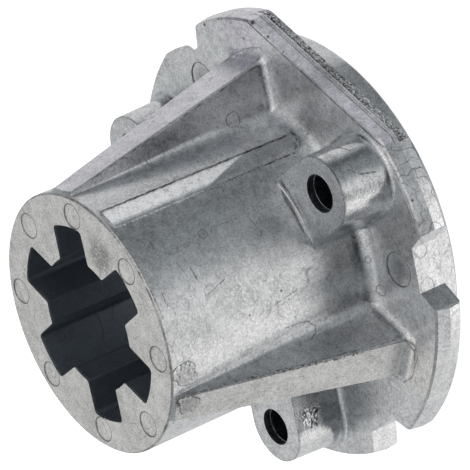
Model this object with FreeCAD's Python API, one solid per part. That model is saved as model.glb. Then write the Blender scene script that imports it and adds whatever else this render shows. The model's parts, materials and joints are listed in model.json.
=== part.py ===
import FreeCAD, Part
import math
import os

# Mower blade adapter, one die casting. Millimetres.
# +Z is the hub axis and points out of the splined end. The origin is on that axis,
# on the underside of the spigot, so the part stands on z = 0.
# Every angle is in degrees from +X, seen in plan.

# Heights
SPIGOT_H = 4.0
PLATE_H = 5.0
HUB_H = 39.8
PLATE_TOP = SPIGOT_H + PLATE_H
TOP = PLATE_TOP + HUB_H

# Hub, with a small broken edge round its nose
HUB_R = 22.0
NOSE_EDGE = 0.3

# Spigot and flange. The rim swells to a parting line and draws in again below it.
SPIGOT_R = 33.0
SPIGOT_EDGE = 0.5
RIM_R = 38.0
RIM_SWELL = 0.4
RIM_LOW_SWELL = 0.25
PARTING_DROP = 2.6
PARTING_Z = PLATE_TOP - PARTING_DROP
RIM_EDGE = 0.35

# Splined bore
TEETH = 6
BORE_TIP_R = 11.22
BORE_LOBE_R = 16.63
TIP_HALF_DEG = 9.34
LOBE_HALF_DEG = 13.38
TIP_ROUND = 0.5
LOBE_ROUND = 0.8

# Ribs between hub and flange, at the nose and at the foot. A rib stands out of
# the hub by its reach, and a growing round runs down each side of its root.
RIB_ANGLES = (30.0, 150.0, 270.0)
RIB_NOSE_REACH = 0.25
RIB_NOSE_HALF = 2.65
RIB_NOSE_ROUND = 0.12
RIB_FOOT_REACH = 9.7
RIB_FOOT_HALF = 4.1
RIB_FOOT_ROUND = 3.3
RIB_CORNER = 0.4

# Screw bosses on one bolt circle
BOSS_ANGLES = (90.0, 210.0, 330.0)
BOLT_CIRCLE_R = 30.0
BOSS_H = 9.2
BOSS_TOP = PLATE_TOP + BOSS_H
BOSS_R = 6.15
BOSS_DRAFT = 0.45
HOLE_R = 3.1
HOLE_MOUTH_R = 3.2
HOLE_MOUTH_DEPTH = 1.4
HOLE_DEPTH = 13.5

# Relief where each boss face runs a little into the hub
RELIEF_DEPTH = 0.73
RELIEF_RISE = 1.5
RELIEF_ROUND = 0.35

# Notches and one flat on the rim, with depths measured from the rim's radius
NOTCH_ANGLES = (0.0, 60.0, 180.0, 240.0, 300.0)
NOTCH_DEPTH = 3.6
NOTCH_FLOOR_HALF = 3.8
NOTCH_MOUTH_HALF = 6.3
FLAT_ANGLE = 120.0
FLAT_DEPTH = 3.8
FLAT_SWELL = 0.4
FLAT_LOW_DRAW = 0.4

# Land on the hub beside one rib, with a thin bead along its far side
LAND_FROM_DEG = 114.6
LAND_TO_DEG = 125.2
LAND_PROUD = 0.28
LAND_NOSE_GAP = 1.1
LAND_END_ROUND = 3.6
BEAD_WIDTH = 0.5
BEAD_PROUD = 0.4

# Shallow marks left by the ejector pins
NOSE_PINS = 8
NOSE_PIN_FIRST_DEG = 7.4
NOSE_PIN_CIRCLE_R = 18.8
NOSE_PIN_R = 2.12
PLATE_PIN_ANGLES = (59.0, 179.0, 299.0)
PLATE_PIN_CIRCLE_R = 29.8
PLATE_PIN_R = 2.9
PIN_SINK = 0.12

# Blends at the foot of the hub and round the bosses
FOOT_BLEND = 1.8
BOSS_BLEND = 1.0

# How far a cutter runs past the faces that it opens, two tolerances for finding edges,
# and the share of its length that an upright edge rises by
OVER = 1.0
NEAR = 0.001
WIDE = 0.02
UPRIGHT = 0.9


def vec(x, y, z=0.0):
    return FreeCAD.Vector(x, y, z)


def polar(r, deg, z=0.0):
    a = math.radians(deg)
    return vec(r * math.cos(a), r * math.sin(a), z)


def turned(shape, deg):
    out = shape.copy()
    out.rotate(vec(0, 0), vec(0, 0, 1), deg)
    return out


def ring_of(outline):
    """Solid of revolution about Z from (radius, height) points."""
    pts = [vec(r, 0, z) for r, z in outline]
    face = Part.Face(Part.makePolygon(pts + [pts[0]]))
    return face.revolve(vec(0, 0), vec(0, 0, 1), 360)


def prism(points, lift):
    """Closed outline with straight sides, extruded along the vector lift."""
    return Part.Face(Part.makePolygon(points + [points[0]])).extrude(lift)


def wedge(low, high):
    """Solid between two like outlines with straight sides, all its faces flat."""
    under = low[::-1]
    faces = [
        Part.Face(Part.makePolygon(under + [under[0]])),
        Part.Face(Part.makePolygon(high + [high[0]])),
    ]
    for k in range(len(low)):
        n = (k + 1) % len(low)
        faces.append(Part.Face(Part.makePolygon([low[k], low[n], high[n], high[k], low[k]])))
    return Part.Solid(Part.Shell(faces))


def mid_point(edge):
    return edge.valueAt(0.5 * (edge.FirstParameter + edge.LastParameter))


def is_upright(edge):
    """True for an edge that runs mostly along the hub axis."""
    d = edge.valueAt(edge.LastParameter) - edge.valueAt(edge.FirstParameter)
    return abs(d.z) > UPRIGHT * d.Length and d.Length > OVER


def base():
    """Spigot and flange plate, turned."""
    low_r = RIM_R + RIM_LOW_SWELL
    return ring_of([
        (0.0, 0.0),
        (SPIGOT_R - SPIGOT_EDGE, 0.0),
        (SPIGOT_R, SPIGOT_EDGE),
        (SPIGOT_R, SPIGOT_H),
        (low_r - RIM_EDGE, SPIGOT_H),
        (low_r, SPIGOT_H + RIM_EDGE),
        (RIM_R + RIM_SWELL, PARTING_Z),
        (RIM_R, PLATE_TOP - RIM_EDGE),
        (RIM_R - RIM_EDGE, PLATE_TOP),
        (0.0, PLATE_TOP),
    ])


def rib_outline(reach, half, z):
    """Plan of one rib on +X, from inside the hub wall out to its end."""
    inner = 0.5 * (HUB_R + BORE_LOBE_R)
    out = HUB_R + reach
    return [vec(inner, -half, z), vec(out, -half, z), vec(out, half, z), vec(inner, half, z)]


def rib():
    """One tapering rib with rounded outer corners, lying on +X."""
    foot = rib_outline(RIB_FOOT_REACH, RIB_FOOT_HALF, PLATE_TOP)
    nose = rib_outline(RIB_NOSE_REACH, RIB_NOSE_HALF, TOP)
    solid = wedge(foot, nose)
    outer = []
    for e in solid.Edges:
        if is_upright(e) and min(v.X for v in e.Vertexes) > HUB_R:
            outer.append(e)
    return solid.makeFillet(RIB_CORNER, outer)


def root_edges(solid, rising):
    """Edges where rib sides meet the round hub, those whose own sense is up or down."""
    found = []
    for e in solid.Edges:
        ends = [e.valueAt(e.FirstParameter), e.valueAt(e.LastParameter)]
        on_hub = all(abs(math.hypot(p.x, p.y) - HUB_R) < WIDE for p in ends)
        seam = all(abs(p.y) < NEAR for p in ends)
        if is_upright(e) and on_hub and not seam and (ends[1].z > ends[0].z) == rising:
            found.append(e)
    return found


def hub():
    """Round hub with its three ribs and the growing rounds at their roots."""
    solid = Part.makeCylinder(HUB_R, HUB_H, vec(0, 0, PLATE_TOP))
    for deg in RIB_ANGLES:
        solid = solid.fuse(turned(rib(), deg))
    solid = solid.removeSplitter()
    rising = root_edges(solid, True)
    if rising:
        solid = solid.makeFillet(RIB_FOOT_ROUND, RIB_NOSE_ROUND, rising)
    falling = root_edges(solid, False)
    if falling:
        solid = solid.makeFillet(RIB_NOSE_ROUND, RIB_FOOT_ROUND, falling)
    return solid


def foot_edges(solid):
    """Edges where the hub and its ribs stand on the plate."""
    found = []
    for e in solid.Edges:
        mid = mid_point(e)
        pts = [mid] + [v.Point for v in e.Vertexes]
        inside = math.hypot(mid.x, mid.y) < RIM_R - 2.0 * RIM_EDGE
        if inside and all(abs(p.z - PLATE_TOP) < NEAR for p in pts):
            found.append(e)
    return found


def boss_outline(r, z):
    """Plan of one boss on +X, a round end on two straight sides from the hub."""
    inner = 0.5 * (HUB_R + BORE_LOBE_R)
    c = BOLT_CIRCLE_R
    return Part.Wire([
        Part.makeLine(vec(inner, -r, z), vec(c, -r, z)),
        Part.Arc(vec(c, -r, z), vec(c + r, 0, z), vec(c, r, z)).toShape(),
        Part.makeLine(vec(c, r, z), vec(inner, r, z)),
        Part.makeLine(vec(inner, r, z), vec(inner, -r, z)),
    ])


def boss():
    low = boss_outline(BOSS_R + BOSS_DRAFT, PLATE_TOP)
    high = boss_outline(BOSS_R, BOSS_TOP)
    return Part.makeLoft([low, high], True, True)


def on_boss_wall(p):
    """True for a point on the drafted wall of a boss that lies on +X."""
    r = BOSS_R + BOSS_DRAFT * (BOSS_TOP - p.z) / BOSS_H
    if p.x < BOLT_CIRCLE_R:
        return p.x > 0.0 and abs(abs(p.y) - r) < WIDE
    return abs(math.hypot(p.x - BOLT_CIRCLE_R, p.y) - r) < WIDE


def boss_seams(solid, deg):
    """Edges where one boss meets the plate, the hub's foot and the hub."""
    found = []
    back = FreeCAD.Rotation(vec(0, 0, 1), -deg)
    for e in solid.Edges:
        pts = [back.multVec(p) for p in e.discretize(5)]
        mid = pts[2]
        on_face = mid.z > BOSS_TOP - NEAR
        side_to_end = abs(mid.x - BOLT_CIRCLE_R) < WIDE and abs(pts[0].z - pts[-1].z) > OVER
        if all(on_boss_wall(p) for p in pts) and not on_face and not side_to_end:
            found.append(e)
    return found


def boss_hole():
    core = Part.makeCylinder(HOLE_R, HOLE_DEPTH + OVER, vec(BOLT_CIRCLE_R, 0, BOSS_TOP - HOLE_DEPTH))
    mouth = Part.makeCylinder(
        HOLE_MOUTH_R, HOLE_MOUTH_DEPTH + OVER,
        vec(BOLT_CIRCLE_R, 0, BOSS_TOP - HOLE_MOUTH_DEPTH))
    return core.fuse(mouth)


def boss_relief():
    """Sloping cut that lets a boss face run a little into the hub."""
    start = HUB_R - RELIEF_DEPTH
    slope = math.atan2(RELIEF_RISE, RELIEF_DEPTH)
    step = RELIEF_ROUND / math.tan(0.5 * slope)
    side = -BOSS_R
    run = RELIEF_DEPTH + OVER
    a = vec(start + step, side, BOSS_TOP)
    b = vec(start + step * math.cos(slope), side, BOSS_TOP + step * math.sin(slope))
    centre = vec(start + step, side, BOSS_TOP + RELIEF_ROUND)
    inward = vec(start, side, BOSS_TOP) - centre
    inward.normalize()
    c = vec(start + run, side, BOSS_TOP + run * math.tan(slope))
    d = vec(start + run, side, BOSS_TOP)
    wire = Part.Wire([
        Part.Arc(a, centre + inward * RELIEF_ROUND, b).toShape(),
        Part.makeLine(b, c),
        Part.makeLine(c, d),
        Part.makeLine(d, a),
    ])
    return Part.Face(wire).extrude(vec(0, 2.0 * BOSS_R, 0))


def hub_strip(from_deg, to_deg, proud, end_round):
    """Strip that lies on the hub between two angles, from near the nose to the plate.

    Its lower end is rounded on the side of from_deg and square on the other.
    """
    half = HUB_R * math.sin(math.radians(0.5 * (to_deg - from_deg)))
    d = 0.5 * (HUB_R + BORE_LOBE_R)
    top = TOP - LAND_NOSE_GAP
    low = PLATE_TOP
    outline = [vec(d, half, low), vec(d, half, top), vec(d, -half, top), vec(d, -half, low)]
    block = prism(outline, vec(HUB_R, 0, 0))
    if end_round > 0.0:
        corner = []
        for e in block.Edges:
            mid = mid_point(e)
            if abs(mid.y + half) < NEAR and abs(mid.z - low) < NEAR:
                corner.append(e)
        block = block.makeFillet(end_round, corner)
    skin = Part.makeCylinder(HUB_R + proud, HUB_H, vec(0, 0, PLATE_TOP))
    return turned(block, 0.5 * (from_deg + to_deg)).common(skin)


def land():
    bead_deg = math.degrees(BEAD_WIDTH / HUB_R)
    strip = hub_strip(LAND_FROM_DEG, LAND_TO_DEG, LAND_PROUD, LAND_END_ROUND)
    bead = hub_strip(LAND_TO_DEG - bead_deg, LAND_TO_DEG, BEAD_PROUD, 0.0)
    return strip.fuse(bead)


def nose_edge():
    """Ring that takes the sharp edge off the hub's nose."""
    return ring_of([
        (HUB_R - NOSE_EDGE - OVER, TOP + OVER),
        (HUB_R + OVER, TOP - NOSE_EDGE - OVER),
        (HUB_R + OVER, TOP + OVER),
    ])


def pin_marks():
    """Shallow round sinks on the nose and on the plate."""
    marks = []
    for k in range(NOSE_PINS):
        deg = NOSE_PIN_FIRST_DEG + k * 360.0 / NOSE_PINS
        foot = polar(NOSE_PIN_CIRCLE_R, deg, TOP - PIN_SINK)
        marks.append(Part.makeCylinder(NOSE_PIN_R, OVER, foot))
    for deg in PLATE_PIN_ANGLES:
        foot = polar(PLATE_PIN_CIRCLE_R, deg, PLATE_TOP - PIN_SINK)
        marks.append(Part.makeCylinder(PLATE_PIN_R, OVER, foot))
    return marks


def notch():
    """Splayed notch through the flange rim, lying on +X."""
    floor = RIM_R - NOTCH_DEPTH
    far = RIM_R + RIM_SWELL + OVER
    mouth = math.sqrt(RIM_R ** 2 - NOTCH_MOUTH_HALF ** 2)
    splay = (NOTCH_MOUTH_HALF - NOTCH_FLOOR_HALF) / (mouth - floor)
    far_half = NOTCH_FLOOR_HALF + splay * (far - floor)
    pts = [(floor, -NOTCH_FLOOR_HALF), (far, -far_half), (far, far_half), (floor, NOTCH_FLOOR_HALF)]
    return prism([vec(x, y, SPIGOT_H) for x, y in pts], vec(0, 0, PLATE_H + OVER))


def rim_flat():
    """Flat on the rim, with a low ridge at the parting line, lying on +X."""
    top = RIM_R - FLAT_DEPTH
    far = RIM_R + RIM_SWELL + OVER
    pts = [
        (top - FLAT_LOW_DRAW, SPIGOT_H),
        (top + FLAT_SWELL, PARTING_Z),
        (top, PLATE_TOP),
        (top, PLATE_TOP + OVER),
        (far, PLATE_TOP + OVER),
        (far, SPIGOT_H),
    ]
    return prism([vec(x, -RIM_R, z) for x, z in pts], vec(0, 2.0 * RIM_R, 0))


def star():
    """Bore outline as a long cutter, with a tooth on +X and the rest evenly round."""
    pitch = 360.0 / TEETH
    pts = []
    for k in range(TEETH):
        tip = k * pitch
        lobe = tip + 0.5 * pitch
        pts.append((
            polar(BORE_TIP_R, tip - TIP_HALF_DEG),
            polar(BORE_TIP_R, tip),
            polar(BORE_TIP_R, tip + TIP_HALF_DEG),
            polar(BORE_LOBE_R, lobe - LOBE_HALF_DEG),
            polar(BORE_LOBE_R, lobe),
            polar(BORE_LOBE_R, lobe + LOBE_HALF_DEG),
        ))
    edges = []
    for k in range(TEETH):
        a, b, c, d, e, f = pts[k]
        edges.append(Part.Arc(a, b, c).toShape())
        edges.append(Part.makeLine(c, d))
        edges.append(Part.Arc(d, e, f).toShape())
        edges.append(Part.makeLine(f, pts[(k + 1) % TEETH][0]))
    tool = Part.Face(Part.Wire(edges)).extrude(vec(0, 0, TOP + 2.0 * OVER))
    tool.translate(vec(0, 0, -OVER))
    return tool


def corners_at(solid, r):
    """Upright edges of a cutter that lie at one radius."""
    found = []
    for e in solid.Edges:
        if is_upright(e) and abs(math.hypot(e.Vertexes[0].X, e.Vertexes[0].Y) - r) < NEAR:
            found.append(e)
    return found


def bore():
    tool = star()
    tool = tool.makeFillet(LOBE_ROUND, corners_at(tool, BORE_LOBE_R))
    return tool.makeFillet(TIP_ROUND, corners_at(tool, BORE_TIP_R))


def adapter_body():
    solid = base().fuse(hub()).removeSplitter()
    solid = solid.makeFillet(FOOT_BLEND, foot_edges(solid))
    for deg in BOSS_ANGLES:
        solid = solid.fuse(turned(boss(), deg))
    solid = solid.removeSplitter()
    seams = []
    for deg in BOSS_ANGLES:
        seams.extend(boss_seams(solid, deg))
    solid = solid.makeFillet(BOSS_BLEND, seams)
    solid = solid.fuse(land())
    cutters = [bore(), nose_edge(), turned(rim_flat(), FLAT_ANGLE)] + pin_marks()
    for deg in BOSS_ANGLES:
        cutters.append(turned(boss_hole(), deg))
        cutters.append(turned(boss_relief(), deg))
    for deg in NOTCH_ANGLES:
        cutters.append(turned(notch(), deg))
    for cutter in cutters:
        solid = solid.cut(cutter)
    if len(solid.Solids) == 1:
        solid = solid.Solids[0]
    return solid


def main():
    os.makedirs("parts", exist_ok=True)
    body = adapter_body()
    print("valid", body.isValid(), "solids", len(body.Solids), "volume", round(body.Volume, 1))
    body.exportStep("parts/adapter_body.step")


main()
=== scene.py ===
"""Mower blade adapter, its looks: the finish of the cast metal, the small traces of casting
and trimming that stand on it, and the studio round it.

Metres, in the part's own frame: +Z is the hub axis and the part stands on z = 0.
"""
import json
import math
import random

import bpy
from bpy.props import FloatProperty, FloatVectorProperty, PointerProperty
from mathutils import Matrix, Vector

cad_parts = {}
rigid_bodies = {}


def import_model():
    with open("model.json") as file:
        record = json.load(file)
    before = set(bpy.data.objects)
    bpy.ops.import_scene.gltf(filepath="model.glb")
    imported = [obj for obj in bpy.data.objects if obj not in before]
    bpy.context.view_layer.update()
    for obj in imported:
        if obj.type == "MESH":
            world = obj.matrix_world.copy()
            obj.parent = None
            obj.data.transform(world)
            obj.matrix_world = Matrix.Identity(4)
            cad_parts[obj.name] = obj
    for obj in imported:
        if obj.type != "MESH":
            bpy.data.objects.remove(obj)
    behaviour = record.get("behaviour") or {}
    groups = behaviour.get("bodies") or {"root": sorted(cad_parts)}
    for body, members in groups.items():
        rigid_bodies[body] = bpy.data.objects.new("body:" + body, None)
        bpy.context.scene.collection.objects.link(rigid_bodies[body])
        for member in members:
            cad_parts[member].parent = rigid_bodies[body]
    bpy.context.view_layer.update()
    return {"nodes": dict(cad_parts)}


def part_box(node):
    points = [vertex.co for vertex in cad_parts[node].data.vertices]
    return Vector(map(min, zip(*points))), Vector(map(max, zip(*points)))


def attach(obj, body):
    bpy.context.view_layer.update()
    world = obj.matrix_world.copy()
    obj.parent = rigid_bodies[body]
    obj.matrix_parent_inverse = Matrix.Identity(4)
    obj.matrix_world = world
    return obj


bl_info = {
    "name": "Mower blade adapter",
    "version": (1, 0, 0),
    "blender": (4, 5, 0),
    "location": "3D View > Sidebar > Adapter",
    "description": "Cast finish, casting traces and studio for a mower blade adapter",
    "category": "Object",
}

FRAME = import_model()
BODY = FRAME["nodes"]["adapter_body"]
NOSE_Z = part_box("adapter_body")[1].z


class AdapterFinish(bpy.types.PropertyGroup):
    """Colours of the raw casting, with painted tints of light and the painted shade of the bore and the
    holes.
    """

    metal: FloatVectorProperty(
        name="Metal", description="Colour of the bare cast metal",
        subtype="COLOR", size=3, min=0.0, max=1.0, default=(0.80, 0.80, 0.81))
    # Painted light: a warm tint of the light on the nose and on the upward faces of one rib.
    warm_light_tint: FloatVectorProperty(
        name="Nose metal", description="Colour of the turned nose face",
        subtype="COLOR", size=3, min=0.0, max=1.0, default=(0.82, 0.80, 0.78))
    # Painted light: a lilac tint of the light on the flat and on one rib.
    lilac_light_tint: FloatVectorProperty(
        name="Lilac metal", description="Colour of the flat and of one rib, which have a lilac tinge",
        subtype="COLOR", size=3, min=0.0, max=1.0, default=(0.80, 0.775, 0.83))
    # Painted shade: a darker, bluish colour in the bore and the holes, where shade falls.
    bore_painted_shade: FloatVectorProperty(
        name="Bore metal", description="Colour of the dull metal in the bore and the holes",
        subtype="COLOR", size=3, min=0.0, max=1.0, default=(0.66, 0.72, 0.80))
    roughness: FloatProperty(
        name="Roughness", description="Roughness of the cast skin",
        subtype="FACTOR", min=0.0, max=1.0, default=0.30)


class AdapterSizes(bpy.types.PropertyGroup):
    """Sizes of the small forms on the casting."""

    cove: FloatProperty(
        name="Foot cove", description="Radius of the hollow round at the foot of the hub",
        subtype="DISTANCE", unit="LENGTH", default=0.0033)
    filed_length: FloatProperty(
        name="Filed length", description="Length of the filed facet on the raised land",
        subtype="DISTANCE", unit="LENGTH", default=0.021)
    filed_width: FloatProperty(
        name="Filed width", description="Width of the filed facet on the raised land",
        subtype="DISTANCE", unit="LENGTH", default=0.00415)
    sawn_length: FloatProperty(
        name="Sawn length", description="Length of the sawn strip on the flat of the rim",
        subtype="DISTANCE", unit="LENGTH", default=0.027)
    sawn_width: FloatProperty(
        name="Sawn width", description="Width of the sawn strip on the flat of the rim",
        subtype="DISTANCE", unit="LENGTH", default=0.0019)
    ridge_length: FloatProperty(
        name="Ridge length", description="Length of the smooth ridge beside the sawn strip",
        subtype="DISTANCE", unit="LENGTH", default=0.031)
    ridge_radius: FloatProperty(
        name="Ridge radius", description="Radius of the smooth ridge beside the sawn strip",
        subtype="DISTANCE", unit="LENGTH", default=0.00042)


class AdapterStudio(bpy.types.PropertyGroup):
    """Camera, floor and lights."""

    camera_azimuth: FloatProperty(
        name="Camera azimuth", description="Direction of the camera from the hub axis",
        subtype="ANGLE", default=math.radians(81.3195))
    camera_elevation: FloatProperty(
        name="Camera elevation", description="Height of the camera over the flange plane",
        subtype="ANGLE", default=math.radians(31.0250))
    camera_roll: FloatProperty(
        name="Camera roll", description="Turn of the camera about its own line of sight",
        subtype="ANGLE", default=math.radians(-113.2007))
    camera_distance: FloatProperty(
        name="Camera distance", description="Distance from the camera to its aim",
        subtype="DISTANCE", unit="LENGTH", default=0.56268)
    camera_aim: FloatVectorProperty(
        name="Camera aim", description="Point that the camera looks at",
        subtype="XYZ", unit="LENGTH", size=3, default=(-0.003124, 0.004827, 0.020))
    lens: FloatProperty(
        name="Lens", description="Focal length in millimetres, on a 36 mm sensor",
        default=267.62)
    tent_light: FloatProperty(
        name="Tent light", description="Light that comes from all round",
        min=0.0, default=0.57)
    tent_tilt: FloatProperty(
        name="Tent tilt", description="How much more light comes from above than from the side",
        default=-0.36)
    backdrop: FloatProperty(
        name="Backdrop", description="Light of the plain backdrop behind the floor",
        min=0.0, default=0.92)
    light_tint: FloatVectorProperty(
        name="Light tint", description="Colour of the bright panels",
        subtype="COLOR", size=3, min=0.0, max=1.0, default=(1.0, 0.995, 0.98))
    shade_tint: FloatVectorProperty(
        name="Shade tint", description="Colour of the dim light from between the panels",
        subtype="COLOR", size=3, min=0.0, max=1.0, default=(0.84, 0.94, 1.0))
    floor_glow: FloatProperty(
        name="Floor glow", description="Light of the floor itself, as on a light table",
        min=0.0, default=0.92)
    floor_colour: FloatVectorProperty(
        name="Floor colour", description="Colour of the plain floor",
        subtype="COLOR", size=3, min=0.0, max=1.0, default=(0.50, 0.50, 0.50))
    softbox_power: FloatProperty(
        name="Softbox power", description="Power of the wide light over the floor",
        subtype="POWER", unit="POWER", min=0.0, default=14.0)


def direction(azimuth, elevation):
    """Unit vector at an azimuth from +X and an elevation above the floor, in radians."""
    flat = math.cos(elevation)
    return Vector((flat * math.cos(azimuth), flat * math.sin(azimuth), math.sin(elevation)))


def spot(azimuth, radius, height):
    """Place in millimetres from an azimuth in degrees, a radius and a height."""
    turn = math.radians(azimuth)
    return (radius * math.cos(turn), radius * math.sin(turn), height)


# Radii and heights in millimetres, and azimuths in degrees, that the finish and the small forms follow
NOSE = 1000.0 * NOSE_Z
HUB_R = 22.0
BORE_R = 17.5
PLATE_TOP = 9.0
RIM_R = 38.0
PART_LINE = 6.4
FLAT = 120.0
FLAT_R = 34.2
LAND = 119.9
BOSS_R = 30.0
BOSS_TOP = 18.2
BOSS_EDGE_R = 6.12
HOLE_R = 3.25
NOSE_PIN_R = 18.8
PLATE_PIN_R = 29.8

# First azimuth of the like parts round the axis, and the angle from one to the next
RIBS = (30.0, 120.0)
BOSSES = (90.0, 120.0)
NOSE_PINS = (7.4, 45.0)
PLATE_PINS = (59.0, 120.0)

# How finely the foot cove is divided: along its arc, and round the hub
COVE_STEPS = 14
COVE_TURNS = 180

# Places by azimuth, radius and height: the broken stubs by the nose, the scar on a boss, a smudge on
# the nose, and the rough skin that keeps the boss hole from mirroring in the hub
HUB_STUB = (45.5, 22.3, NOSE - 2.6)
RIB_STUB = (32.5, 23.0, NOSE - 2.5)
BOSS_SCAR = (343.0, 28.5, 15.1)
SMUDGE = (117.0, 15.4, NOSE)
ROUGH_SKIN = (88.0, HUB_R, 24.0)
# Both ends of a rib's edge, given outwards, sideways and up, and of a worn stretch, given as above
RIB_EDGE = ((22.3, 2.65, NOSE - 1.0), (31.2, 4.05, PLATE_TOP))
WORN_EDGE = ((37.4, 24.0, 40.0), (36.6, 30.4, 15.8))

# Dark scratches on the hub: azimuth and depth below the nose of each end, and half the width
HUB_SCRATCHES = (
    ((90.0, 6.7), (85.0, 7.2), 0.15),
    ((86.2, 8.5), (81.0, 8.8), 0.17),
    ((84.0, 0.5), (72.5, 0.7), 0.16),
    ((82.0, 2.1), (75.3, 2.1), 0.12),
    ((95.2, 22.1), (90.5, 22.6), 0.12),
    ((88.5, 23.0), (86.6, 22.4), 0.17),
    ((103.4, 7.2), (102.0, 7.6), 0.20),
    ((102.6, 4.6), (99.5, 4.5), 0.14),
    ((58.2, 20.6), (60.3, 25.6), 0.10),
    ((56.6, 21.4), (58.6, 26.0), 0.08),
    ((76.5, 13.2), (73.5, 9.6), 0.12),
    ((98.0, 15.0), (97.3, 20.0), 0.09),
)
# Dark outlines elsewhere: route in azimuth, radius and height, half the width, and how dark
OUTLINES = (
    # The first two lines, along the upper edge of the raised land, are partly a ridge and partly its painted
    # shadow.
    (((124.1, 22.4, 47.6), (124.1, 22.4, 11.5)), 0.24, 1.0),
    (((125.7, 22.1, 48.4), (125.4, 22.1, 10.5)), 0.15, 0.7),
    (((114.3, 22.1, 31.0), (114.5, 22.1, 12.4)), 0.16, 0.9),
    (((114.5, 22.1, 12.4), (117.4, 22.4, 11.2), (121.0, 22.7, 10.2), (124.2, 22.7, 10.4)), 0.20, 1.0),
    (((46.0, 22.0, 26.4), (45.5, 22.0, 23.4), (44.2, 22.0, 21.8), (41.6, 22.3, 20.8), (39.8, 23.0, 21.0),
      (38.9, 23.6, 22.5)), 0.14, 0.9),
    (((94.2, 35.8, 15.8), (91.8, 36.1, 14.7), (90.2, 36.2, 15.0), (89.0, 36.3, 14.0), (88.3, 36.4, 12.6),
      (88.0, 36.4, 11.2)), 0.17, 1.0),
    (((99.5, 33.6, 14.6), (97.8, 34.6, 13.7), (95.6, 35.6, 13.0)), 0.20, 0.8),
    (((98.5, 34.2, 16.6), (96.0, 35.3, 16.2), (93.8, 35.8, 15.8)), 0.75, 0.35),
    (((155.6, 31.2, 11.2), (154.4, 32.1, 9.6), (151.1, 32.8, 9.1), (146.5, 33.4, 9.0),
      (142.8, 33.8, 9.0)), 0.17, 0.8),
    (((36.6, 32.4, 9.6), (33.0, 34.0, 9.0), (25.3, 33.9, 9.0), (20.5, 32.6, 9.0)), 0.17, 0.8),
    (((32.5, 34.4, 9.0), (22.2, 35.0, 9.0)), 0.10, 0.5),
    (((84.9, 38.3, 5.9), (84.4, 38.3, 4.3)), 0.16, 0.8),
    (((93.4, 38.2, 6.6), (91.5, 38.1, 7.9), (88.6, 38.1, 7.6), (87.4, 38.2, 6.4)), 0.11, 0.6),
    (((87.4, 38.2, 6.4), (85.6, 38.1, 7.8), (82.2, 38.1, 7.9)), 0.10, 0.5),
    (((80.6, 38.2, 6.2), (78.8, 38.1, 7.7), (75.5, 38.2, 6.9)), 0.10, 0.5),
)
# Small circles on the hub, the plate, the floor of a notch and a rib: place, radius and how dark
CIRCLES = (
    (spot(97.0, 22.0, 35.4), 0.70, 0.5),
    (spot(74.8, 22.0, 38.7), 0.90, 0.4),
    (spot(48.4, 24.7, 9.0), 0.95, 0.7),
    (spot(61.0, 22.9, 9.4), 0.75, 0.6),
    (spot(64.8, 34.6, 7.4), 1.15, 0.5),
    (spot(54.9, 34.6, 7.4), 1.30, 0.5),
    (spot(140.9, 24.2, 16.7), 1.25, 0.7),
    (spot(142.0, 23.5, 32.1), 1.75, 0.4),
)
# Dark dots: azimuth, radius and height of each, and its own radius
DOTS = (
    (62.7, 22.0, 26.2, 0.28),
    (58.4, 22.0, 32.9, 0.24),
    (145.1, 37.8, 8.9, 0.75),
    (139.3, 36.3, 8.9, 0.40),
    (133.0, 35.0, 8.9, 0.32),
    (150.0, 34.7, 9.0, 0.26),
    (166.2, 37.4, 9.0, 0.45),
    (159.6, 37.9, 8.9, 0.30),
    (78.2, 38.0, 8.4, 0.25),
    (72.0, 38.2, 6.0, 0.24),
    (55.0, 38.1, 7.2, 0.28),
)

# Broken stubs and the scar: place, azimuth that they face, length down the hub, width, how far proud,
# seed of the outline, and whether a dark crack of painted shade runs round it
GATE_SCARS = (
    ("gate_scar_hub", HUB_STUB, 47.0, 4.6, 5.4, 0.08, 3, True),
    ("gate_scar_rib", RIB_STUB, 30.0, 4.2, 4.8, 0.10, 8, True),
    ("boss_scar", BOSS_SCAR, 60.0, 4.6, 4.4, 0.06, 5, False),
)
# Lips of flash: half the thickness, how uneven, and the route in azimuth, radius and height
FLASH_LIPS = (
    ("lip_rib_right", 0.11, 0.45, (
        (36.9, 22.5, 46.5), (36.9, 24.9, 37.0), (37.0, 28.2, 24.0), (37.2, 31.4, 11.0))),
    ("lip_rib_left", 0.09, 0.45, (
        (143.1, 22.5, 46.5), (143.1, 24.9, 37.0), (143.0, 28.2, 24.0), (142.8, 31.4, 11.0))),
    ("lip_land_foot", 0.13, 0.45, (
        (114.6, 22.15, 12.6), (115.4, 22.4, 11.4), (117.8, 22.9, 10.6), (121.2, 23.1, 10.4))),
    ("lip_plate", 0.15, 0.35, (
        (92.6, 37.3, 9.0), (89.0, 37.4, 9.0), (84.0, 37.4, 9.0), (76.0, 37.4, 9.0), (68.0, 37.4, 9.0))),
    ("lip_boss", 0.13, 0.45, (
        (91.8, 36.2, 15.9), (90.0, 36.3, 14.6), (88.9, 36.35, 13.6), (88.2, 36.4, 11.5))),
    ("lip_relief", 0.30, 0.06, (
        (106.0, 22.15, 18.7), (95.0, 22.25, 18.5), (84.0, 22.25, 18.3), (73.7, 22.15, 18.0))),
    ("lip_flat_end", 0.16, 0.25, (
        (98.4, 36.8, 8.0), (96.4, 37.45, 6.8), (94.8, 37.95, 5.6), (93.2, 38.15, 4.7))),
    ("lip_rib_foot", 0.12, 0.45, (
        (156.0, 31.0, 11.0), (153.8, 32.0, 9.5), (150.5, 32.5, 9.1), (145.5, 33.1, 9.0))),
    ("lip_rib_end", 0.12, 0.45, (
        (37.4, 31.6, 10.2), (34.8, 33.2, 9.2), (30.0, 33.6, 9.0), (25.3, 33.5, 9.0), (21.5, 32.4, 9.0))),
)

UPWARDS = (0.0, 0.0, 1.0)
DOWNWARDS = (0.0, 0.0, -1.0)
# Way that the right side of the rib at 150 degrees faces
RIB_SIDE = spot(60.0, 1.0, 0.0)
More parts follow.
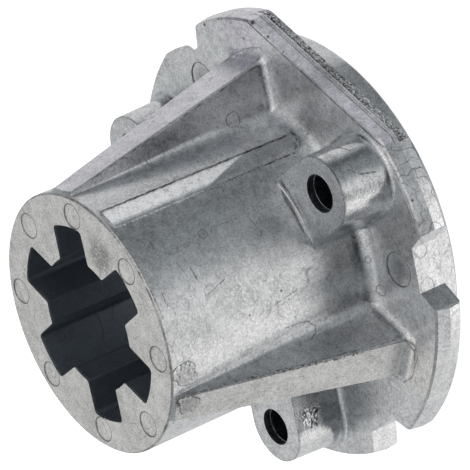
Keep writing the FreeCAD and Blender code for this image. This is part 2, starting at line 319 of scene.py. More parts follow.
# Rings of pins and vents: places by azimuth, radius and height, way that they face, radius, and half
# the thickness
MOULD_RINGS = (
    ("nose_pin_rings", tuple((NOSE_PINS[0] + NOSE_PINS[1] * k, NOSE_PIN_R, NOSE - 0.10) for k in range(8)),
     UPWARDS, 2.07, 0.09),
    ("plate_pin_rings", tuple((PLATE_PINS[0] + PLATE_PINS[1] * k, PLATE_PIN_R, PLATE_TOP) for k in range(3)),
     UPWARDS, 2.9, 0.06),
    ("rib_vent_ring", ((140.9, 24.24, 16.7),), RIB_SIDE, 1.25, 0.06),
    ("rib_vent_ring_high", ((142.0, 23.47, 32.1),), RIB_SIDE, 1.75, 0.05),
)


class Field:
    """A number that shader nodes work out at each point."""

    def __init__(self, tree, socket):
        self.tree = tree
        self.socket = socket

    def sum_of(self, operation, *others, clamp=False):
        """Result of one operation of the Math node."""
        node = self.tree.nodes.new("ShaderNodeMath")
        node.operation = operation
        node.use_clamp = clamp
        for slot, value in zip(node.inputs, (self, *others)):
            plug(self.tree, slot, value)
        return Field(self.tree, node.outputs[0])

    def __add__(self, other):
        return self.sum_of("ADD", other)

    def __sub__(self, other):
        return self.sum_of("SUBTRACT", other)

    def __mul__(self, other):
        return self.sum_of("MULTIPLY", other)

    def __truediv__(self, other):
        return self.sum_of("DIVIDE", other)

    def __abs__(self):
        return self.sum_of("ABSOLUTE")

    __radd__ = __add__
    __rmul__ = __mul__

    def __rsub__(self, other):
        return self * -1.0 + other

    def step(self, low, high):
        """Smooth step: 0 at low and 1 at high, or the other way round if high is the smaller."""
        node = self.tree.nodes.new("ShaderNodeMapRange")
        node.interpolation_type = "SMOOTHSTEP"
        plug(self.tree, node.inputs["Value"], self)
        flip = high < low
        node.inputs["From Min"].default_value = min(low, high)
        node.inputs["From Max"].default_value = max(low, high)
        node.inputs["To Min"].default_value = 1.0 if flip else 0.0
        node.inputs["To Max"].default_value = 0.0 if flip else 1.0
        return Field(self.tree, node.outputs["Result"])

    def near(self, value, width):
        """1 at a value, and 0 from a width away from it."""
        return abs(self - value).step(width, 0.4 * width)

    def most(self, other):
        """The larger of two fields at each point."""
        return self.sum_of("MAXIMUM", other)

    def less(self, share, where):
        """The field, made less by a share where another field is 1."""
        return self * (1.0 - share * where)


def plug(tree, slot, value):
    """Give a socket a number, or the output of another node."""
    if isinstance(value, Field):
        tree.links.new(value.socket, slot)
    elif isinstance(value, bpy.types.NodeSocket):
        tree.links.new(value, slot)
    else:
        slot.default_value = value


def combine(tree, operation, *values):
    """Vector sum: a vector output, or a Field where the result is one number."""
    node = tree.nodes.new("ShaderNodeVectorMath")
    node.operation = operation
    slots = [node.inputs[0], node.inputs["Scale"]] if operation == "SCALE" else node.inputs
    for slot, value in zip(slots, values):
        plug(tree, slot, value)
    if operation in {"DOT_PRODUCT", "LENGTH", "DISTANCE"}:
        return Field(tree, node.outputs["Value"])
    return node.outputs["Vector"]


def mix(tree, share, one, two):
    """Colour one where the share is 0 and colour two where it is 1."""
    node = tree.nodes.new("ShaderNodeMix")
    node.data_type = "RGBA"
    slots = {slot.identifier: slot for slot in node.inputs}
    plug(tree, slots["Factor_Float"], share)
    for slot, colour in ((slots["A_Color"], one), (slots["B_Color"], two)):
        plug(tree, slot, colour if isinstance(colour, bpy.types.NodeSocket) else (*colour, 1.0))
    return [slot for slot in node.outputs if slot.identifier == "Result_Color"][0]


class Surface:
    """Places on the casting, in millimetres, for the patterns of its finish."""

    def __init__(self, tree):
        self.tree = tree
        places = tree.nodes.new("ShaderNodeTexCoord")
        self.place = combine(tree, "SCALE", places.outputs["Object"], 1000.0)
        way = tree.nodes.new("ShaderNodeSeparateXYZ")
        tree.links.new(places.outputs["Normal"], way.inputs[0])
        self.up = Field(tree, way.outputs["Z"])
        split = tree.nodes.new("ShaderNodeSeparateXYZ")
        tree.links.new(self.place, split.inputs[0])
        x, y, self.z = (Field(tree, split.outputs[axis]) for axis in "XYZ")
        self.depth = NOSE - self.z
        self.radius = (x * x + y * y).sum_of("SQRT")
        self.azimuth = y.sum_of("ARCTAN2", x) * (180.0 / math.pi)
        shake = combine(tree, "SUBTRACT", self.clouds(0.7, colour=True), (0.5, 0.5, 0.5))
        self.shaken = combine(tree, "ADD", self.place, combine(tree, "SCALE", shake, 0.45))
        self.flat_side = combine(tree, "DOT_PRODUCT", self.place, spot(FLAT, 1.0, 0.0))
        self.on_flat = self.flat_side.step(FLAT_R - 0.6, FLAT_R - 0.3) * self.up.step(0.5, 0.3)

    def clouds(self, size, detail=2.0, roughness=0.5, shift=0.0, colour=False):
        """Even noise between 0 and 1, its blots a size across."""
        node = self.tree.nodes.new("ShaderNodeTexNoise")
        where = combine(self.tree, "ADD", self.place, (shift, shift, shift))
        self.tree.links.new(where, node.inputs["Vector"])
        node.inputs["Scale"].default_value = 1.0 / size
        node.inputs["Detail"].default_value = detail
        node.inputs["Roughness"].default_value = roughness
        return node.outputs["Color"] if colour else Field(self.tree, node.outputs["Fac"])

    def pits(self, size, share, width):
        """Small round pits: the place is divided into cells of a size, and a share of them has one."""
        node = self.tree.nodes.new("ShaderNodeTexVoronoi")
        self.tree.links.new(self.place, node.inputs["Vector"])
        node.inputs["Scale"].default_value = 1.0 / size
        chance = combine(self.tree, "DOT_PRODUCT", node.outputs["Color"], (1.0, 0.0, 0.0))
        dot = Field(self.tree, node.outputs["Distance"]).step(width / size, 0.4 * width / size)
        return dot * chance.step(share, share - 0.02)

    def turned(self, parts):
        """Place seen from the nearest of the like parts round the axis: outwards, sideways, up."""
        first, every = parts
        share = (self.azimuth - first + 0.5 * every) / every
        angle = (share.sum_of("FRACT") - 0.5) * math.radians(every)
        node = self.tree.nodes.new("ShaderNodeCombineXYZ")
        plug(self.tree, node.inputs["X"], self.radius * angle.sum_of("COSINE"))
        plug(self.tree, node.inputs["Y"], abs(self.radius * angle.sum_of("SINE")))
        plug(self.tree, node.inputs["Z"], self.z)
        return node.outputs[0]

    def stroke(self, start, end, width, place=None):
        """A line between two places, shaken a little so that it isn't drawn with a ruler."""
        span = Vector(end) - Vector(start)
        away = combine(self.tree, "SUBTRACT", place or self.shaken, tuple(start))
        along = combine(self.tree, "DOT_PRODUCT", away, tuple(span / span.length_squared))
        along = along.sum_of("MULTIPLY", 1.0, clamp=True)
        foot = combine(self.tree, "SCALE", tuple(span), along)
        return combine(self.tree, "DISTANCE", away, foot).step(width, 0.35 * width)

    def wait_for(self, field):
        """Make later strokes wait for a field, as a shader can only hold so many values at once."""
        nudge = combine(self.tree, "SCALE", (1e-6, 1e-6, 1e-6), field)
        self.shaken = combine(self.tree, "ADD", self.shaken, nudge)

    def ring(self, middle, radius, width, place=None):
        """A thin circle round a place on the surface."""
        return combine(self.tree, "DISTANCE", place or self.shaken, tuple(middle)).near(radius, width)

    def blot(self, middle, radius, place=None):
        """A soft round blot."""
        return combine(self.tree, "DISTANCE", place or self.shaken, tuple(middle)).step(radius, 0.3 * radius)


def on_hub(azimuth, depth):
    """Place on the hub, so far below the nose."""
    return spot(azimuth, HUB_R, NOSE - depth)


def pin_lines(surface):
    """Dark circles round the pin marks on the nose and on the plate."""
    nose_pin = surface.ring((NOSE_PIN_R, 0.0, NOSE), 2.12, 0.12, surface.turned(NOSE_PINS))
    plate_pin = surface.ring((PLATE_PIN_R, 0.0, PLATE_TOP), 2.9, 0.13, surface.turned(PLATE_PINS))
    return (nose_pin * surface.depth.step(0.5, 0.3) * 0.8).most(plate_pin * 0.6)


def skin_lines(surface):
    """Faint wandering lines of the skin: wide contours of the flow, and a fine etching."""
    contour = abs(surface.clouds(5.0, detail=0.5, shift=3.0) - 0.5).step(0.012, 0.002)
    shown = surface.clouds(8.0, detail=1.0, shift=11.0).step(0.56, 0.64)
    etched = abs(surface.clouds(1.9, shift=23.0) - 0.5).step(0.03, 0.0)
    return (contour * shown * 0.3).most(etched * surface.clouds(4.5, shift=41.0).step(0.48, 0.62) * 0.28)


def flat_lines(surface, broken, frayed):
    """Dark lines along the flat of the rim, and along the edge of the plate to the right of it."""
    brim = surface.flat_side.near(FLAT_R - 0.6, 0.20) * surface.z.near(PLATE_TOP, 0.4)
    lines = brim * (0.45 + 0.55 * broken) * surface.up.step(0.5, 0.8)
    for height, width in ((6.98, 0.18), (6.08, 0.20)):
        lines = lines.most(surface.z.near(height, width) * surface.on_flat * frayed * 0.9)
    plate_edge = surface.radius.near(37.62, 0.16) * surface.z.near(PLATE_TOP, 0.4)
    lines = lines.most(plate_edge * surface.azimuth.near(82.0, 26.0) * broken * 0.45)
    rim_face = surface.radius.step(RIM_R - 0.3, RIM_R - 0.1) * surface.azimuth.near(78.0, 40.0)
    patches = abs(surface.clouds(3.4, detail=1.0, shift=71.0) - 0.5).step(0.022, 0.006)
    return lines.most(patches * rim_face * 0.5)


def edge_lines(surface, broken, frayed):
    """Dark lines on the edges of the ribs, the nose and the bosses."""
    rib_edge = surface.stroke(*RIB_EDGE, 0.20, surface.turned(RIBS))
    lines = rib_edge * broken * 0.8
    nose_edge = surface.radius.near(HUB_R - 0.2, 0.15) * surface.depth.step(0.6, 0.3)
    lines = lines.most(nose_edge * broken * 0.7)
    boss = surface.turned(BOSSES)
    boss_edge = combine(surface.tree, "DISTANCE", boss, (BOSS_R, 0.0, BOSS_TOP)).near(BOSS_EDGE_R, 0.16)
    outer_half = combine(surface.tree, "DOT_PRODUCT", boss, (1.0, 0.0, 0.0)).step(27.5, 30.5)
    lines = lines.most(boss_edge * outer_half * surface.z.near(BOSS_TOP, 0.4) * frayed * 0.7)
    worn = surface.stroke(*(spot(*end) for end in WORN_EDGE), 0.55)
    return lines.most(worn * surface.clouds(0.5, detail=1.0, shift=61.0).step(0.52, 0.60) * 0.8)


def line_work(surface):
    """Thin dark lines: where pins, cores and the two halves of the mould met, old scratches, and partly
    painted shadow along the upper edge of the raised land.
    """
    broken = surface.clouds(2.2, detail=4.0, roughness=0.7).step(0.34, 0.66)
    frayed = 0.55 + 0.45 * broken
    lines = pin_lines(surface).most(skin_lines(surface))
    for route, width, dark in OUTLINES:
        for start, end in zip(route, route[1:]):
            lines = lines.most(surface.stroke(spot(*start), spot(*end), width) * frayed * dark)
        surface.wait_for(lines)
    for middle, radius, dark in CIRCLES:
        lines = lines.most(surface.ring(middle, radius, 0.14) * frayed * dark)
    lines = lines.most(flat_lines(surface, broken, frayed)).most(edge_lines(surface, broken, frayed))
    for start, end, width in HUB_SCRATCHES:
        lines = lines.most(surface.stroke(on_hub(*start), on_hub(*end), width) * (0.35 + 0.5 * broken))
    surface.wait_for(lines)
    for azimuth, radius, height, size in DOTS:
        lines = lines.most(surface.blot(spot(azimuth, radius, height), size))
    return lines


class Skin:
    """Patterns of the cast skin, from wide flow clouds down to its grain."""

    def __init__(self, surface):
        self.cloud = surface.clouds(6.0, detail=3.0, shift=53.0)
        self.blotch = surface.clouds(1.3, detail=3.0, shift=19.5)
        self.speckle = surface.clouds(0.33, shift=5.0)
        self.grain = surface.clouds(0.45, detail=3.0, roughness=0.6, shift=31.0)


class Zones:
    """Parts of the casting with a finish, a painted tint of light or painted shade of their own: 1 inside
    each and 0 outside it.
    """

    def __init__(self, surface):
        self.nose = surface.depth.step(0.45, 0.25)
        self.bore = surface.radius.step(BORE_R, BORE_R - 0.3) * surface.depth.step(0.15, 0.6)
        boss = combine(surface.tree, "MULTIPLY", surface.turned(BOSSES), (1.0, 1.0, 0.0))
        from_hole = combine(surface.tree, "DISTANCE", boss, (BOSS_R, 0.0, 0.0))
        self.hole = from_hole.step(HOLE_R, HOLE_R - 0.15) * surface.z.step(BOSS_TOP - 0.2, BOSS_TOP - 0.6)
        self.boss_side = from_hole.step(7.4, 7.0) * from_hole.step(6.0, 6.1) * surface.z.step(9.6, 10.4)
        self.sawn = surface.on_flat * surface.z.step(PART_LINE - 0.1, PART_LINE - 0.5)
        brim = surface.flat_side.step(FLAT_R - 0.65, FLAT_R - 0.5) * surface.z.near(PLATE_TOP, 0.4)
        self.above_saw = (surface.on_flat * surface.z.step(PART_LINE, PART_LINE + 0.4)).most(brim)
        self.land = surface.azimuth.near(LAND, 5.6) * surface.radius.step(HUB_R + 0.1, HUB_R + 0.2)
        slanted_depth = surface.depth - 1.1 * (surface.azimuth - 114.8)
        self.filed = self.land * slanted_depth.step(19.5, 18.0)
        self.stubs = surface.blot(spot(*HUB_STUB), 3.2).most(surface.blot(spot(*RIB_STUB), 2.8))
        self.plate_pins = surface.blot((PLATE_PIN_R, 0.0, PLATE_TOP), 2.95, surface.turned(PLATE_PINS))
        off_hub = surface.radius.step(HUB_R + 0.4, HUB_R + 0.8)
        # Masks for the painted lilac and warm tints of light.
        self.rib_150 = surface.azimuth.near(150.0, 11.0) * off_hub
        self.rib_30 = surface.azimuth.near(30.0, 11.0) * off_hub * surface.up.step(0.15, 0.2)
        plate_top = surface.up.step(0.97, 0.99) * surface.z.near(PLATE_TOP, 0.5)
        self.plate_face = plate_top * surface.azimuth.near(95.0, 80.0)
        self.rim_side = surface.radius.step(RIM_R - 0.1, RIM_R) * surface.up.step(0.5, 0.3)


def tone_of(surface, skin, zones, lines):
    """How light the metal is at each point, against its own colour."""
    speckled = 1.0 + 0.3 * zones.filed + 1.9 * zones.sawn
    uneven = 0.45 * (skin.cloud - 0.5) + 0.65 * (skin.blotch - 0.5) + 1.1 * speckled * (skin.speckle - 0.5)
    tone = 1.0 + (1.0 - 0.6 * zones.bore) * uneven + 0.25 * zones.filed - 0.42 * zones.sawn
    tone = tone + 0.9 * zones.sawn * skin.speckle.step(0.60, 0.68)
    smudge = surface.blot(spot(*SMUDGE), 4.2) * zones.nose * skin.grain.step(0.30, 0.55)
    tone = tone.less(0.28, zones.land * (1.0 - zones.filed)).less(0.32, zones.stubs).less(0.50, smudge)
    tone = tone.less(0.85, lines).less(0.5, surface.pits(2.6, 0.35, 0.16))
    # Painted shade: the bore and the bolt holes are darker where shade falls inside them.
    return tone.less(0.45, zones.bore).less(0.5, zones.hole).less(0.30, zones.plate_pins)


def colour_of(tree, finish, zones):
    """Colour of the metal: painted lilac and warm tints of light on some parts, and painted shade in the
    bore and the holes.
    """
    lilac = mix(tree, zones.rib_150.most(zones.above_saw), finish.metal, finish.lilac_light_tint)
    warm = mix(tree, zones.nose.most(zones.rib_30), lilac, finish.warm_light_tint)
    return mix(tree, zones.bore.most(zones.hole), warm, finish.bore_painted_shade)


def chalk_of(zones):
    """Share of chalky, oxidised skin that lies on the bare metal."""
    chalk = (0.14 * zones.plate_face).most(0.26 * zones.above_saw).most(0.12 * zones.rim_side)
    return chalk.most(0.36 * zones.filed).most(0.06 * zones.sawn)


def roughness_of(surface, finish, skin, zones, lines):
    """Roughness of the skin: smoother on the sides of the bosses, rougher where it was cut."""
    rough = finish.roughness + 0.16 * (skin.blotch - 0.5) + 0.22 * (skin.grain - 0.5) + 0.12 * zones.nose
    rough = rough + 0.40 * zones.filed + 0.2 * zones.sawn + 0.3 * lines + 0.2 * zones.bore
    rough = rough + 0.16 * surface.blot(spot(*ROUGH_SKIN), 8.0)
    return rough - 0.12 * zones.boss_side


def relief_of(skin, zones):
    """Height of the fine relief of the skin, in metres, coarser where it was filed or sawn."""
    coarse = 1.0 + 1.5 * zones.filed + 1.9 * zones.sawn
    fine = 0.000014 * skin.grain + 0.000009 * skin.speckle
    return 0.000040 * skin.cloud + 0.000022 * skin.blotch + coarse * fine


def cast_metal(finish, name="cast_metal", shade=1.0):
    """Raw die-cast aluminium: a grainy skin with flow clouds, pin marks, scratches and a filed land."""
    material = bpy.data.materials.new(name)
    material.use_nodes = True
    tree = material.node_tree
    shader = tree.nodes["Principled BSDF"]
    surface = Surface(tree)
    lines = line_work(surface)
    skin = Skin(surface)
    zones = Zones(surface)

    tone = shade * tone_of(surface, skin, zones, lines)
    plug(tree, shader.inputs["Base Color"], combine(tree, "SCALE", colour_of(tree, finish, zones), tone))
    plug(tree, shader.inputs["Metallic"], 1.0 - chalk_of(zones))
    plug(tree, shader.inputs["Roughness"], roughness_of(surface, finish, skin, zones, lines))
    bump = tree.nodes.new("ShaderNodeBump")
    bump.inputs["Distance"].default_value = 1.0
    plug(tree, bump.inputs["Height"], relief_of(skin, zones))
    plug(tree, shader.inputs["Normal"], bump.outputs[0])
    return material


class ADAPTER_OT_cast_body(bpy.types.Operator):
    """Give the casting its finish"""

    bl_idname = "adapter.cast_body"
    bl_label = "Cast body"

    def execute(self, context):
        BODY.material_slots[0].material = cast_metal(context.scene.adapter_finish)
        # A darker copy of the metal: painted shade for the cracks round the gate scars.
        cast_metal(context.scene.adapter_finish, "crack_painted_shade", shade=0.55)
        return {"FINISHED"}


def facing(outwards, along):
    """Turn that lays a primitive's +Z outwards and its +X along a direction."""
    normal = Vector(outwards).normalized()
    side = Vector(along)
    side = (side - normal * side.dot(normal)).normalized()
    return Matrix((side, normal.cross(side), normal)).transposed().to_euler()


def start_fresh():
    """Leave nothing selected, so that an operator acts on the new primitive alone."""
    bpy.ops.object.select_all(action="DESELECT")


def apply_all(piece):
    """Apply the modifiers in the order in which they stand."""
    for modifier in list(piece.modifiers):
        bpy.ops.object.modifier_apply(modifier=modifier.name)


def complete(name, angle):
    """Finish the active piece: its name, its place in its mesh, its modifiers, its metal and its body.

    Edges that turn by more than the angle, in degrees, stay sharp.
    """
    piece = bpy.context.object
    piece.name = name
    bpy.ops.object.transform_apply(location=True, rotation=True, scale=True)
    apply_all(piece)
    bpy.ops.object.mode_set(mode="EDIT")
    bpy.ops.mesh.select_all(action="SELECT")
    bpy.ops.mesh.remove_doubles(threshold=1e-6)
    bpy.ops.mesh.normals_make_consistent(inside=False)
    bpy.ops.object.mode_set(mode="OBJECT")
    bpy.ops.object.shade_smooth_by_angle(angle=math.radians(angle))
    if not piece.data.materials:
        piece.data.materials.append(BODY.material_slots[0].material)
    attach(piece, "root")


def millimetres(place):
    """Place in metres from one in millimetres."""
    return tuple(0.001 * number for number in place)


def roughen(piece, size, height):
    """Push the skin in and out by a cloud pattern; size and height in millimetres."""
    texture = bpy.data.textures.new("roughness", "CLOUDS")
    texture.noise_scale = 0.001 * size
    texture.noise_depth = 2
    modifier = piece.modifiers.new("roughen", "DISPLACE")
    modifier.texture = texture
    modifier.texture_coords = "LOCAL"
    modifier.strength = 0.001 * height
    modifier.mid_level = 0.5


def trim(piece, keep):
    """Delete the faces whose middle, in millimetres in the piece's own plane, isn't to be kept."""
    bpy.ops.object.mode_set(mode="EDIT")
    bpy.ops.mesh.select_mode(type="FACE")
    bpy.ops.mesh.select_all(action="DESELECT")
    bpy.ops.object.mode_set(mode="OBJECT")
    for face in piece.data.polygons:
        face.select = not keep(face.center.x * 1000.0, face.center.y * 1000.0)
    bpy.ops.object.mode_set(mode="EDIT")
    bpy.ops.mesh.delete(type="FACE")
    bpy.ops.object.mode_set(mode="OBJECT")


def add_patch(middle, outwards, along, length, width, cell, keep):
    """Even grid of cells that faces outwards at a place on the casting, trimmed to its own outline."""
    start_fresh()
    bpy.ops.mesh.primitive_grid_add(
        x_subdivisions=round(length / cell), y_subdivisions=round(width / cell), size=0.001)
    piece = bpy.context.object
    bpy.ops.transform.resize(value=(length, width, 1.0))
    bpy.ops.object.transform_apply(location=False, rotation=False, scale=True)
    trim(piece, keep)
    piece.location = millimetres(middle)
    piece.rotation_euler = facing(outwards, along)
    bpy.ops.object.transform_apply(location=True, rotation=True, scale=False)
    return piece


def darken_outline(piece):
    """Give the outermost cells of a patch the darker copy of the metal: painted shade of the crack round it.
    """
    piece.data.materials.append(BODY.material_slots[0].material)
    piece.data.materials.append(bpy.data.materials["crack_painted_shade"])
    bpy.ops.object.mode_set(mode="EDIT")
    bpy.ops.mesh.select_mode(type="VERT")
    bpy.ops.mesh.select_all(action="DESELECT")
    bpy.ops.mesh.select_non_manifold()
    bpy.ops.mesh.select_more()
    bpy.ops.mesh.select_mode(type="FACE")
    piece.active_material_index = 1
    bpy.ops.object.material_slot_assign()
    bpy.ops.object.mode_set(mode="OBJECT")


def wrap(piece, gap):
    """Lay a patch on the casting, so far proud of it, in millimetres."""
    modifier = piece.modifiers.new("wrap", "SHRINKWRAP")
    modifier.target = BODY
    modifier.wrap_method = "NEAREST_SURFACEPOINT"
    modifier.wrap_mode = "ABOVE_SURFACE"
    modifier.offset = 0.001 * gap


def thicken(piece, depth):
    """Turn a patch into a closed plate that reaches into the casting."""
    modifier = piece.modifiers.new("thicken", "SOLIDIFY")
    modifier.thickness = 0.001 * depth
    modifier.offset = -1.0


def ragged(radius, share, seed):
    """Outline of a broken-off stub: a wavy radius for each direction in its own plane."""
    draw = random.Random(seed)
    waves = [(k, draw.uniform(0.0, math.tau), share / k) for k in (2, 3, 4, 5, 7)]

    def keep(x, y):
        turn = math.atan2(y, x)
        edge = radius * (1.0 + sum(size * math.cos(k * turn + phase) for k, phase, size in waves))
        return math.hypot(x, y) < edge

    return keep


def add_lip(route, thickness, uneven, seed):
    """Uneven thin ridge of flash along a route of places in azimuth, radius and height."""
    draw = random.Random(seed)
    steps = 6
    usual = 0.8
    tip = 0.1
    places = []
    for start, end in zip(route, route[1:]):
        for step in range(steps):
            share = step / steps
            places.append([a + (b - a) * share for a, b in zip(start, end)])
    places.append(route[-1])
    start_fresh()
    bpy.ops.curve.primitive_nurbs_path_add(location=(0.0, 0.0, 0.0))
    curve = bpy.context.object.data
    curve.splines.clear()
    line = curve.splines.new("NURBS")
    line.points.add(len(places) - 1)
    for point, place in zip(line.points, places):
        point.co = (*millimetres(spot(*place)), 1.0)
        point.radius = usual + draw.uniform(-uneven, uneven)
    line.points[0].radius = tip
    line.points[-1].radius = tip
    line.order_u = 3
    line.use_endpoint_u = True
    line.resolution_u = 3
    curve.dimensions = "3D"
    curve.bevel_depth = 0.001 * thickness
    curve.bevel_resolution = 1
    curve.use_fill_caps = True
    bpy.ops.object.convert(target="MESH")


def select(pieces):
    """Select these pieces alone, the first of them as the active one."""
    start_fresh()
    for piece in pieces:
        piece.select_set(True)
    bpy.context.view_layer.objects.active = pieces[0]


class ADAPTER_OT_foot_cove(bpy.types.Operator):
    """Hollow round where the hub stands on the plate"""

    bl_idname = "adapter.foot_cove"
    bl_label = "Foot cove"

    def execute(self, context):
        radius = 1000.0 * context.scene.adapter_sizes.cove
        hidden = 0.5
        arc = [1.5 * math.pi - 0.5 * math.pi * step / COVE_STEPS for step in range(COVE_STEPS + 1)]
        out = HUB_R + radius
        up = PLATE_TOP + radius
        outline = [(out + radius * math.cos(turn), up + radius * math.sin(turn)) for turn in arc]
        outline += [(HUB_R - hidden, up), (HUB_R - hidden, PLATE_TOP - hidden), (out, PLATE_TOP - hidden)]
        start_fresh()
        bpy.ops.mesh.primitive_circle_add(vertices=len(outline), radius=0.001, fill_type="NGON")
        for vertex, (distance, height) in zip(bpy.context.object.data.vertices, outline):
            vertex.co = millimetres((distance, 0.0, height))
        bpy.ops.object.mode_set(mode="EDIT")
        bpy.ops.mesh.select_all(action="SELECT")
        bpy.ops.mesh.delete(type="ONLY_FACE")
        bpy.ops.mesh.select_all(action="SELECT")
        bpy.ops.mesh.spin(steps=COVE_TURNS, angle=math.tau, center=(0.0, 0.0, 0.0), axis=(0.0, 0.0, 1.0))
        bpy.ops.object.mode_set(mode="OBJECT")
        complete("foot_cove", angle=40.0)
        return {"FINISHED"}


class ADAPTER_OT_filed_land(bpy.types.Operator):
    """Filed facet at the nose end of the raised land"""

    bl_idname = "adapter.filed_land"
    bl_label = "Filed land"

    def execute(self, context):
        length = 1000.0 * context.scene.adapter_sizes.filed_length
        width = 1000.0 * context.scene.adapter_sizes.filed_width
        slant = 4.4
        below_nose = 1.3

        def keep(along, across):
            return along < 0.5 * length - slant * (0.5 * width - across) / width

        middle = spot(LAND, HUB_R + 0.3, NOSE - below_nose - 0.5 * length)
        piece = add_patch(middle, spot(LAND, 1.0, 0.0), DOWNWARDS, length, width, 0.13, keep)
        wrap(piece, 0.05)
        roughen(piece, 0.35, 0.09)
        thicken(piece, 0.3)
        complete("filed_land", angle=60.0)
        return {"FINISHED"}


class ADAPTER_OT_gate_scars(bpy.types.Operator):
    """Broken stubs by the nose, and the rough patch on a boss"""

    bl_idname = "adapter.gate_scars"
    bl_label = "Gate scars"

    def execute(self, context):
        for name, place, azimuth, length, width, proud, seed, cracked in GATE_SCARS:
            keep = ragged(0.42 * max(length, width), 0.30, seed)
            outwards = spot(azimuth, 1.0, 0.0)
            piece = add_patch(spot(*place), outwards, DOWNWARDS, length, width, 0.11, keep)
            if cracked:
                darken_outline(piece)
            wrap(piece, proud)
            roughen(piece, 1.3, 0.14)
            roughen(piece, 0.4, 0.10)
            thicken(piece, 0.5)
            complete(name, angle=50.0)
        return {"FINISHED"}


class ADAPTER_OT_sawn_flat(bpy.types.Operator):
    """Coarse sawn strip and the smooth ridge beside it on the flat of the rim"""

    bl_idname = "adapter.sawn_flat"
    bl_label = "Sawn flat"

    def execute(self, context):
        sizes = context.scene.adapter_sizes
        length = 1000.0 * sizes.sawn_length
        width = 1000.0 * sizes.sawn_width
        taper = 7.0
        outwards = spot(FLAT, 1.0, 0.0)
        along = spot(FLAT - 90.0, 1.0, 0.0)

        def on_flat(sideways, height, proud):
            return tuple(
                (FLAT_R + proud) * a + sideways * b for a, b in zip(outwards[:2], along[:2])) + (height,)

        def keep(sideways, down):
            return abs(down) < 0.5 * width * min(1.0, (0.5 * length - sideways) / taper)

        piece = add_patch(on_flat(-2.8, 5.15, 0.25), outwards, along, length, width, 0.11, keep)
        wrap(piece, 0.14)
        roughen(piece, 0.32, 0.32)
        roughen(piece, 0.2, 0.14)
        thicken(piece, 0.5)
        complete("sawn_strip", angle=60.0)

        start_fresh()
        bpy.ops.mesh.primitive_cylinder_add(
            vertices=16, radius=sizes.ridge_radius, depth=sizes.ridge_length,
            location=millimetres(on_flat(-0.4, 6.55, 0.22)), rotation=facing(along, outwards))
        ridge = bpy.context.object
        bpy.ops.object.mode_set(mode="EDIT")
        bpy.ops.mesh.select_all(action="DESELECT")
        bpy.ops.object.mode_set(mode="OBJECT")
        # Only the long edges are cut, so that the ridge can wave along its length
        for edge in ridge.data.edges:
            ends = [ridge.data.vertices[number].co.z for number in edge.vertices]
            edge.select = abs(ends[0] - ends[1]) > 0.5 * sizes.ridge_length
        bpy.ops.object.mode_set(mode="EDIT")
        bpy.ops.mesh.subdivide(number_cuts=90)
        bpy.ops.object.mode_set(mode="OBJECT")
        bpy.ops.object.transform_apply(location=True, rotation=True, scale=True)
        roughen(ridge, 1.6, 0.10)
        complete("flat_ridge", angle=50.0)
        return {"FINISHED"}


class ADAPTER_OT_flash_lips(bpy.types.Operator):
    """Thin lips of flash on the edges of the ribs, of the land and of the plate"""

    bl_idname = "adapter.flash_lips"
    bl_label = "Flash lips"

    def execute(self, context):
        for name, thickness, uneven, route in FLASH_LIPS:
            add_lip(route, thickness, uneven, seed=len(name) + round(route[0][0]))
            complete(name, angle=60.0)
        return {"FINISHED"}


class ADAPTER_OT_mould_rings(bpy.types.Operator):
    """Thin rings left by the pins and vents of the mould"""

    bl_idname = "adapter.mould_rings"
    bl_label = "Mould rings"

    def execute(self, context):
        for name, places, outwards, radius, thickness in MOULD_RINGS:
            along = (1.0, 0.0, 0.0) if outwards == UPWARDS else UPWARDS
            start_fresh()
            bpy.ops.mesh.primitive_torus_add(
                major_segments=56, minor_segments=6, major_radius=0.001 * radius,
                minor_radius=0.001 * thickness)
            first = bpy.context.object
            rings = []
            for place in places:
                select([first])
                bpy.ops.object.duplicate(linked=False)
                ring = bpy.context.object
                ring.location = millimetres(spot(*place))
                ring.rotation_euler = facing(outwards, along)
                bpy.ops.object.transform_apply(location=True, rotation=True, scale=True)
                rings.append(ring)
            bpy.data.objects.remove(first)
            select(rings)
            if len(rings) > 1:
                bpy.ops.object.join()
            complete(name, angle=60.0)
        return {"FINISHED"}


def add_camera(studio):
    """Camera at the photograph's viewing angle."""
    data = bpy.data.cameras.new("camera")
    data.sensor_width = 36.0
    data.lens = studio.lens
    data.clip_start = 0.01
    data.clip_end = 20.0
    camera = bpy.data.objects.new("camera", data)
    bpy.context.scene.collection.objects.link(camera)
    back = direction(studio.camera_azimuth, studio.camera_elevation)
    upright = (-back).to_track_quat("-Z", "Y").to_matrix().to_4x4()
    roll = Matrix.Rotation(studio.camera_roll, 4, "Z")
    place = Matrix.Translation(Vector(studio.camera_aim) + back * studio.camera_distance)
    camera.matrix_world = place @ upright @ roll
    bpy.context.scene.camera = camera


def add_floor(studio):
    """Plain pale floor that glows like a light table, and gives neither shadow nor mirror image."""
    start_fresh()
    bpy.ops.mesh.primitive_plane_add(size=6.0, location=(0.0, 0.0, 0.0))
    floor = bpy.context.object
    floor.name = "floor"
    material = bpy.data.materials.new("floor")
    material.use_nodes = True
    shader = material.node_tree.nodes["Principled BSDF"]
    shader.inputs["Base Color"].default_value = (*studio.floor_colour, 1.0)
    shader.inputs["Roughness"].default_value = 0.9
    shader.inputs["Emission Color"].default_value = (1.0, 1.0, 1.0, 1.0)
    shader.inputs["Emission Strength"].default_value = studio.floor_glow
    floor.data.materials.append(material)
    floor.visible_glossy = False
    floor.visible_shadow = False


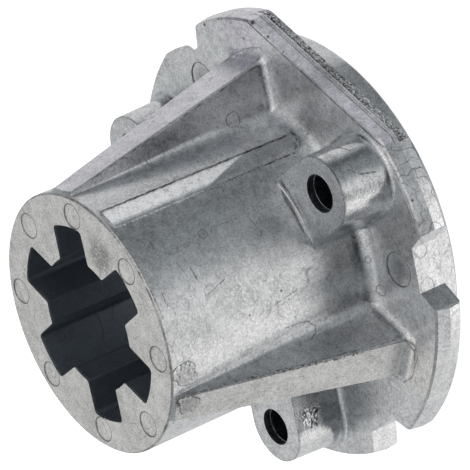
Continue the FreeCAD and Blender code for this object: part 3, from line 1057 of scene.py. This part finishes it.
# Soft panels round the part, and the dark cloths between them: azimuth and elevation of the
# middle in degrees, how far the panel fades out in degrees, and its light, less than none for a cloth
PANELS = (
    ("low side light", 38.0, -43.0, 17.0, 1.33),
    ("overhead tent", 115.0, 75.0, 21.0, 0.81),
    ("nose fill", 272.0, 55.0, 13.0, 0.77),
    ("low cloth", 147.0, -30.0, 13.0, -0.42),
    ("floor cloth", 40.0, -20.0, 13.0, -1.32),
    ("under cloth", 320.0, -83.0, 26.0, -0.88),
    ("camera cloth", 53.0, 21.0, 13.0, -0.80),
    ("front cloth", 106.0, -25.0, 27.0, -0.46),
    ("back cloth", 182.0, 15.0, 16.0, -0.58),
    ("side cloth", 4.0, 14.0, 14.0, -0.45),
)


def light_tent(world, studio):
    """Even light from all round, with a few soft panels and dark cloths."""
    world.use_nodes = True
    tree = world.node_tree
    ray = tree.nodes.new("ShaderNodeTexCoord").outputs["Generated"]
    light = combine(tree, "DOT_PRODUCT", ray, (0.0, 0.0, 1.0)) * studio.tent_tilt + studio.tent_light
    for _, azimuth, elevation, width, strength in PANELS:
        middle = direction(math.radians(azimuth), math.radians(elevation))
        share = combine(tree, "DOT_PRODUCT", ray, middle).sum_of("ARCCOSINE") / math.radians(width)
        light = light + strength * (-0.5 * share * share).sum_of("EXPONENT")
    seen = tree.nodes.new("ShaderNodeLightPath").outputs["Is Camera Ray"]
    light = light.most(0.0).most(Field(tree, seen) * studio.backdrop)
    plug(tree, tree.nodes["Background"].inputs["Strength"], light)
    tint = mix(tree, light.step(0.0, 0.9), studio.shade_tint, studio.light_tint)
    tree.links.new(tint, tree.nodes["Background"].inputs["Color"])


def add_softbox(studio):
    """Wide light over the floor, without a mirror image in the metal."""
    bpy.ops.object.light_add(type="AREA", location=(0.0, 0.0, 1.6))
    lamp = bpy.context.object
    lamp.name = "softbox"
    lamp.data.shape = "DISK"
    lamp.data.size = 1.8
    lamp.data.energy = studio.softbox_power
    lamp.visible_glossy = False


class ADAPTER_OT_studio(bpy.types.Operator):
    """Set up the floor, the lights and the camera"""

    bl_idname = "adapter.studio"
    bl_label = "Studio"

    def execute(self, context):
        studio = context.scene.adapter_studio
        add_camera(studio)
        add_floor(studio)
        add_softbox(studio)
        world = bpy.data.worlds.new("studio")
        light_tent(world, studio)
        context.scene.world = world
        context.scene.view_settings.view_transform = "Standard"
        return {"FINISHED"}


class ADAPTER_PT_panel(bpy.types.Panel):
    """Pieces and studio of the adapter"""

    bl_idname = "ADAPTER_PT_panel"
    bl_label = "Mower blade adapter"
    bl_space_type = "VIEW_3D"
    bl_region_type = "UI"
    bl_category = "Adapter"

    def draw(self, context):
        for operator in OPERATORS:
            self.layout.operator(operator.bl_idname)


OPERATORS = (
    ADAPTER_OT_cast_body,
    ADAPTER_OT_foot_cove,
    ADAPTER_OT_filed_land,
    ADAPTER_OT_gate_scars,
    ADAPTER_OT_sawn_flat,
    ADAPTER_OT_flash_lips,
    ADAPTER_OT_mould_rings,
    ADAPTER_OT_studio,
)
CLASSES = (AdapterFinish, AdapterSizes, AdapterStudio, *OPERATORS, ADAPTER_PT_panel)


def register():
    for cls in CLASSES:
        bpy.utils.register_class(cls)
    bpy.types.Scene.adapter_finish = PointerProperty(type=AdapterFinish)
    bpy.types.Scene.adapter_sizes = PointerProperty(type=AdapterSizes)
    bpy.types.Scene.adapter_studio = PointerProperty(type=AdapterStudio)


def unregister():
    del bpy.types.Scene.adapter_studio
    del bpy.types.Scene.adapter_sizes
    del bpy.types.Scene.adapter_finish
    for cls in reversed(CLASSES):
        bpy.utils.unregister_class(cls)


def main():
    """Build the pieces and the studio in order."""
    register()
    bpy.ops.adapter.cast_body()
    bpy.ops.adapter.foot_cove()
    bpy.ops.adapter.filed_land()
    bpy.ops.adapter.gate_scars()
    bpy.ops.adapter.sawn_flat()
    bpy.ops.adapter.flash_lips()
    bpy.ops.adapter.mould_rings()
    bpy.ops.adapter.studio()


if __name__ == "__main__":
    main()
